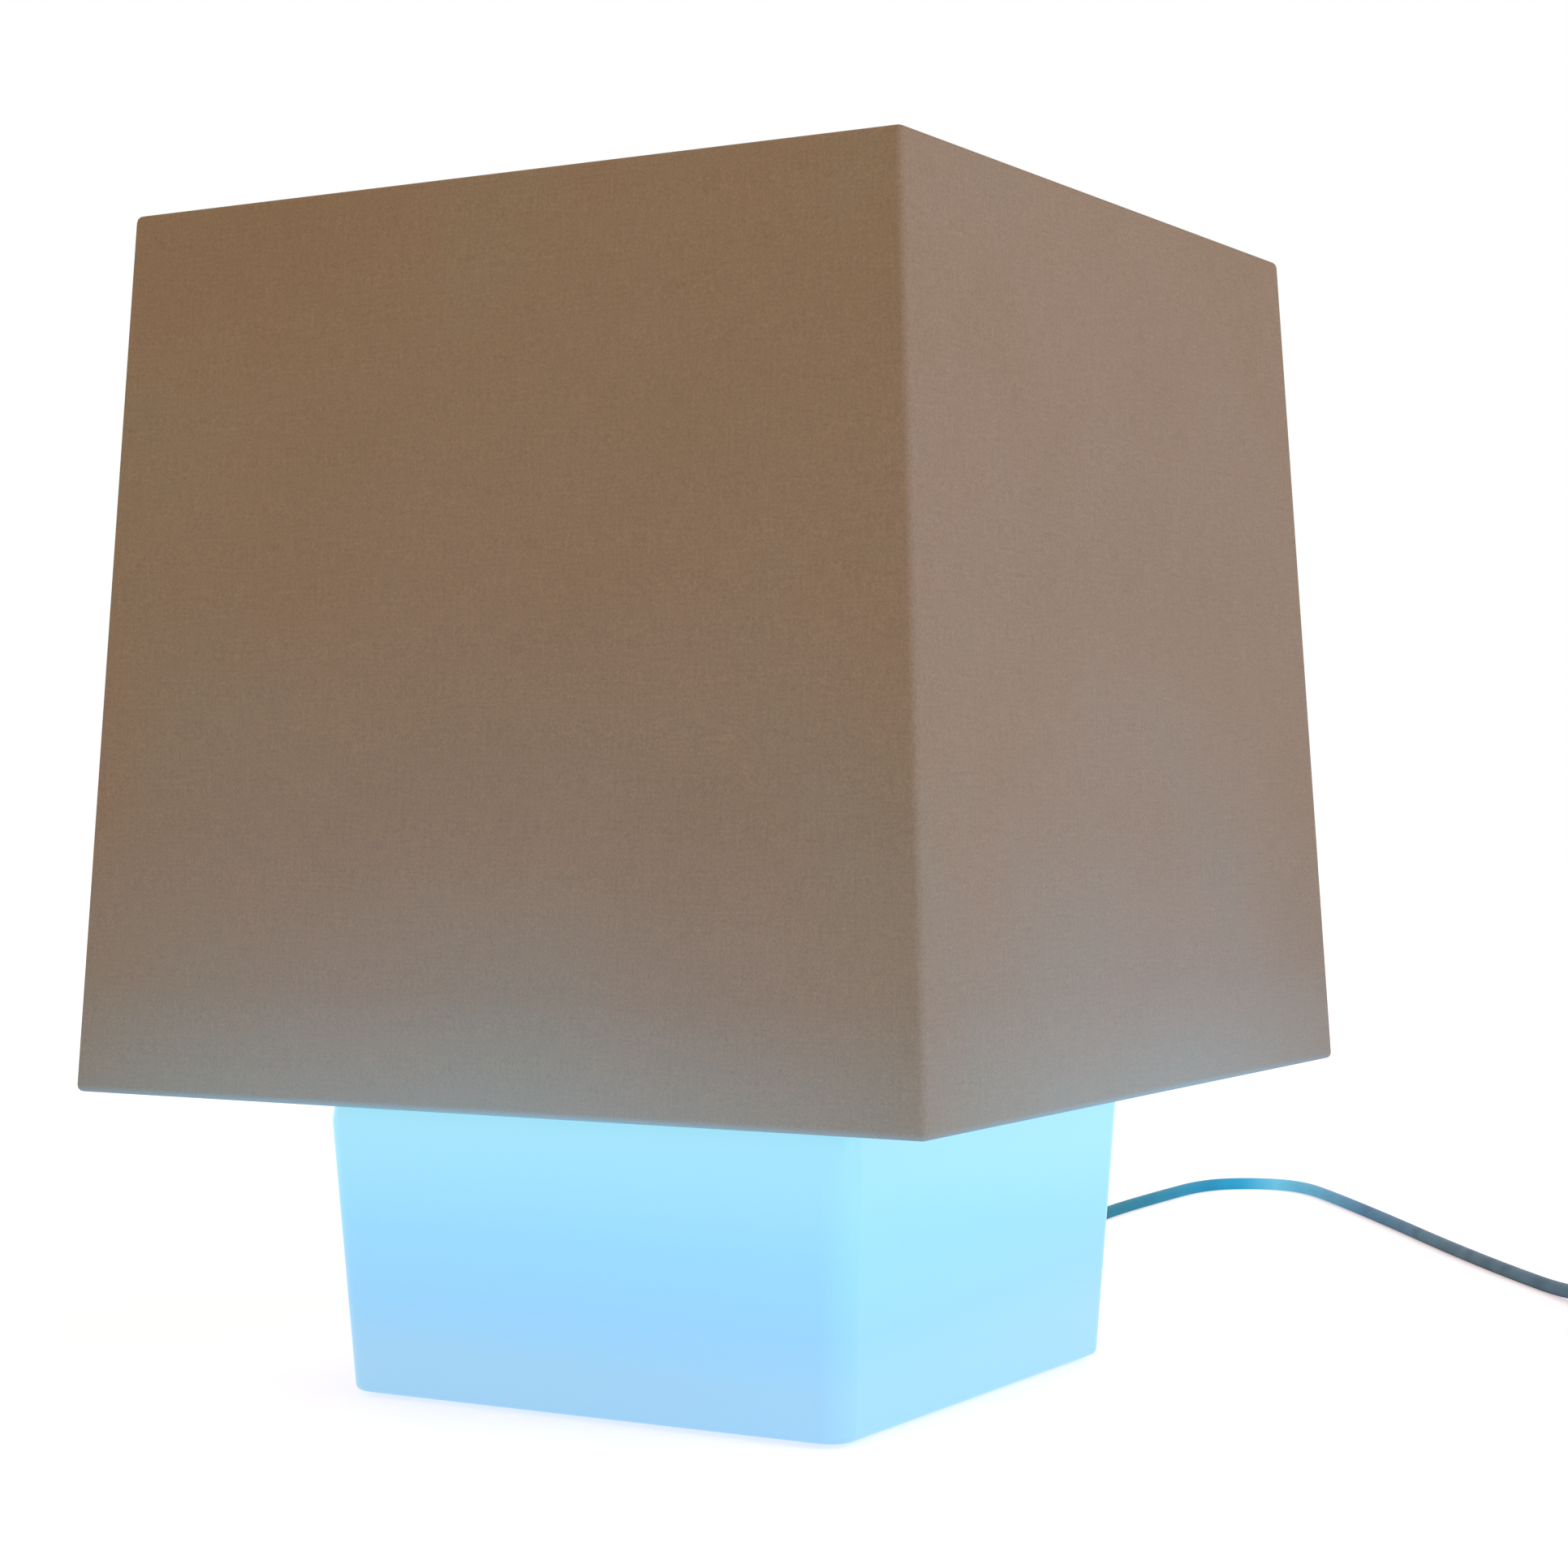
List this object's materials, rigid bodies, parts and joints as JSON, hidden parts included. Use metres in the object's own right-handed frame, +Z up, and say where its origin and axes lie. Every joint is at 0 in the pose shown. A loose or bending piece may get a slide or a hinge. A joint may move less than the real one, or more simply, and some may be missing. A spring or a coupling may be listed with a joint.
{
  "type": "table lamp",
  "caption": "Table lamp: a square tapered fabric shade over an opal glass cube lit from inside, with a mains cord, rocker cord switch and plug.",
  "frame": {"origin": "on the table under the middle of the glass, at the height of the foot pads", "axes": "+Z up, -Y the front face of the glass, +Y the back, where the mains cord leaves"},
  "size_m": [0.4976, 0.6443, 0.3476],
  "materials": {
    "opal_glass": "satin blown opal glass, lit from inside",
    "clear_rubber": "clear soft pads",
    "zinc_steel": "zinc plated sheet",
    "brushed_nickel": "satin nickel plate",
    "black_rubber": "matt",
    "holder_plastic": "moulded heat-resistant plastic",
    "nut_plastic": "moulded plastic",
    "brass": "pressed sheet",
    "nickel_cap": "rolled nickel-plated sheet",
    "bulb_plastic": "moulded",
    "bulb_globe": "frosted diffuser",
    "ceramic": "glazed ceramic look",
    "block_plastic": "natural polyamide",
    "wire_pvc": "smooth wire insulation",
    "cord_pvc": "smooth translucent grey cord sheath",
    "relief_pvc": "soft moulded PVC",
    "switch_plastic": "moulded grey plastic",
    "rocker_plastic": "moulded dark grey plastic",
    "plug_plastic": "soft moulded PVC",
    "sleeve_plastic": "moulded",
    "shade_cloth": "fine plain weave, taupe",
    "shade_liner": "stiff white sheet",
    "white_enamel": "white powder coat"
  },
  "bodies": {
    "root": {"glass_body": "opal_glass", "foot_pads": "clear_rubber", "base_plate": "zinc_steel", "base_gasket": "black_rubber", "stirrup": "zinc_steel", "stirrup_screws": "zinc_steel", "lower_lampholder": "holder_plastic", "lower_holder_screws": "zinc_steel", "lower_contact_shell": "brass", "lower_centre_contact": "brass", "lower_bulb_cap": "nickel_cap", "lower_bulb_housing": "bulb_plastic", "lower_bulb_globe": "bulb_globe", "clamp_saddle": "block_plastic", "clamp_strap": "zinc_steel", "clamp_screws": "zinc_steel", "terminal_block": "block_plastic", "terminal_screws": "brass", "cord_end": "cord_pvc", "supply_wires": "wire_pvc", "lower_wires": "wire_pvc", "upper_wires": "wire_pvc", "cord_relief": "relief_pvc", "threaded_tube": "zinc_steel", "tube_nuts": "zinc_steel", "top_gasket": "black_rubber", "top_cap": "brushed_nickel", "upper_holder_dome": "holder_plastic", "upper_holder_skirt": "holder_plastic", "upper_insulator": "ceramic", "upper_contact_shell": "brass", "upper_centre_contact": "brass", "upper_bulb_cap": "nickel_cap", "upper_bulb_housing": "bulb_plastic", "upper_bulb_globe": "bulb_globe", "shade_ring_nut": "nut_plastic", "cord_lead": "cord_pvc", "cord_coil": "cord_pvc", "switch_base": "switch_plastic", "switch_cover": "switch_plastic", "switch_screws": "zinc_steel", "switch_terminals": "brass", "plug_relief": "plug_plastic", "plug_body": "plug_plastic", "plug_pins": "nickel_cap", "plug_pin_sleeves": "sleeve_plastic"},
    "shade": {"shade_cloth": "shade_cloth", "shade_panel_front": "shade_liner", "shade_panel_right": "shade_liner", "shade_panel_back": "shade_liner", "shade_panel_left": "shade_liner", "shade_lower_wire": "white_enamel", "shade_upper_wire": "white_enamel", "shade_fitter": "white_enamel"},
    "rocker_base": {"switch_rocker_base": "rocker_plastic"},
    "rocker_shade": {"switch_rocker_shade": "rocker_plastic"}
  },
  "joints": [
    {"name": "shade_turn", "type": "hinge", "parent": "root", "child": "shade", "pos_m": [0, 0, 0.143], "axis": [0, 0, 1], "continuous": true},
    {"name": "rocker_base_tilt", "type": "hinge", "parent": "root", "child": "rocker_base", "pos_m": [0.24609, 0.19174, 0.013], "axis": [0.7826, 0.6225, 0], "range_deg": [-16, 0]},
    {"name": "rocker_shade_tilt", "type": "hinge", "parent": "root", "child": "rocker_shade", "pos_m": [0.23482, 0.18278, 0.013], "axis": [0.7826, 0.6225, 0], "range_deg": [0, 16]}
  ]
}
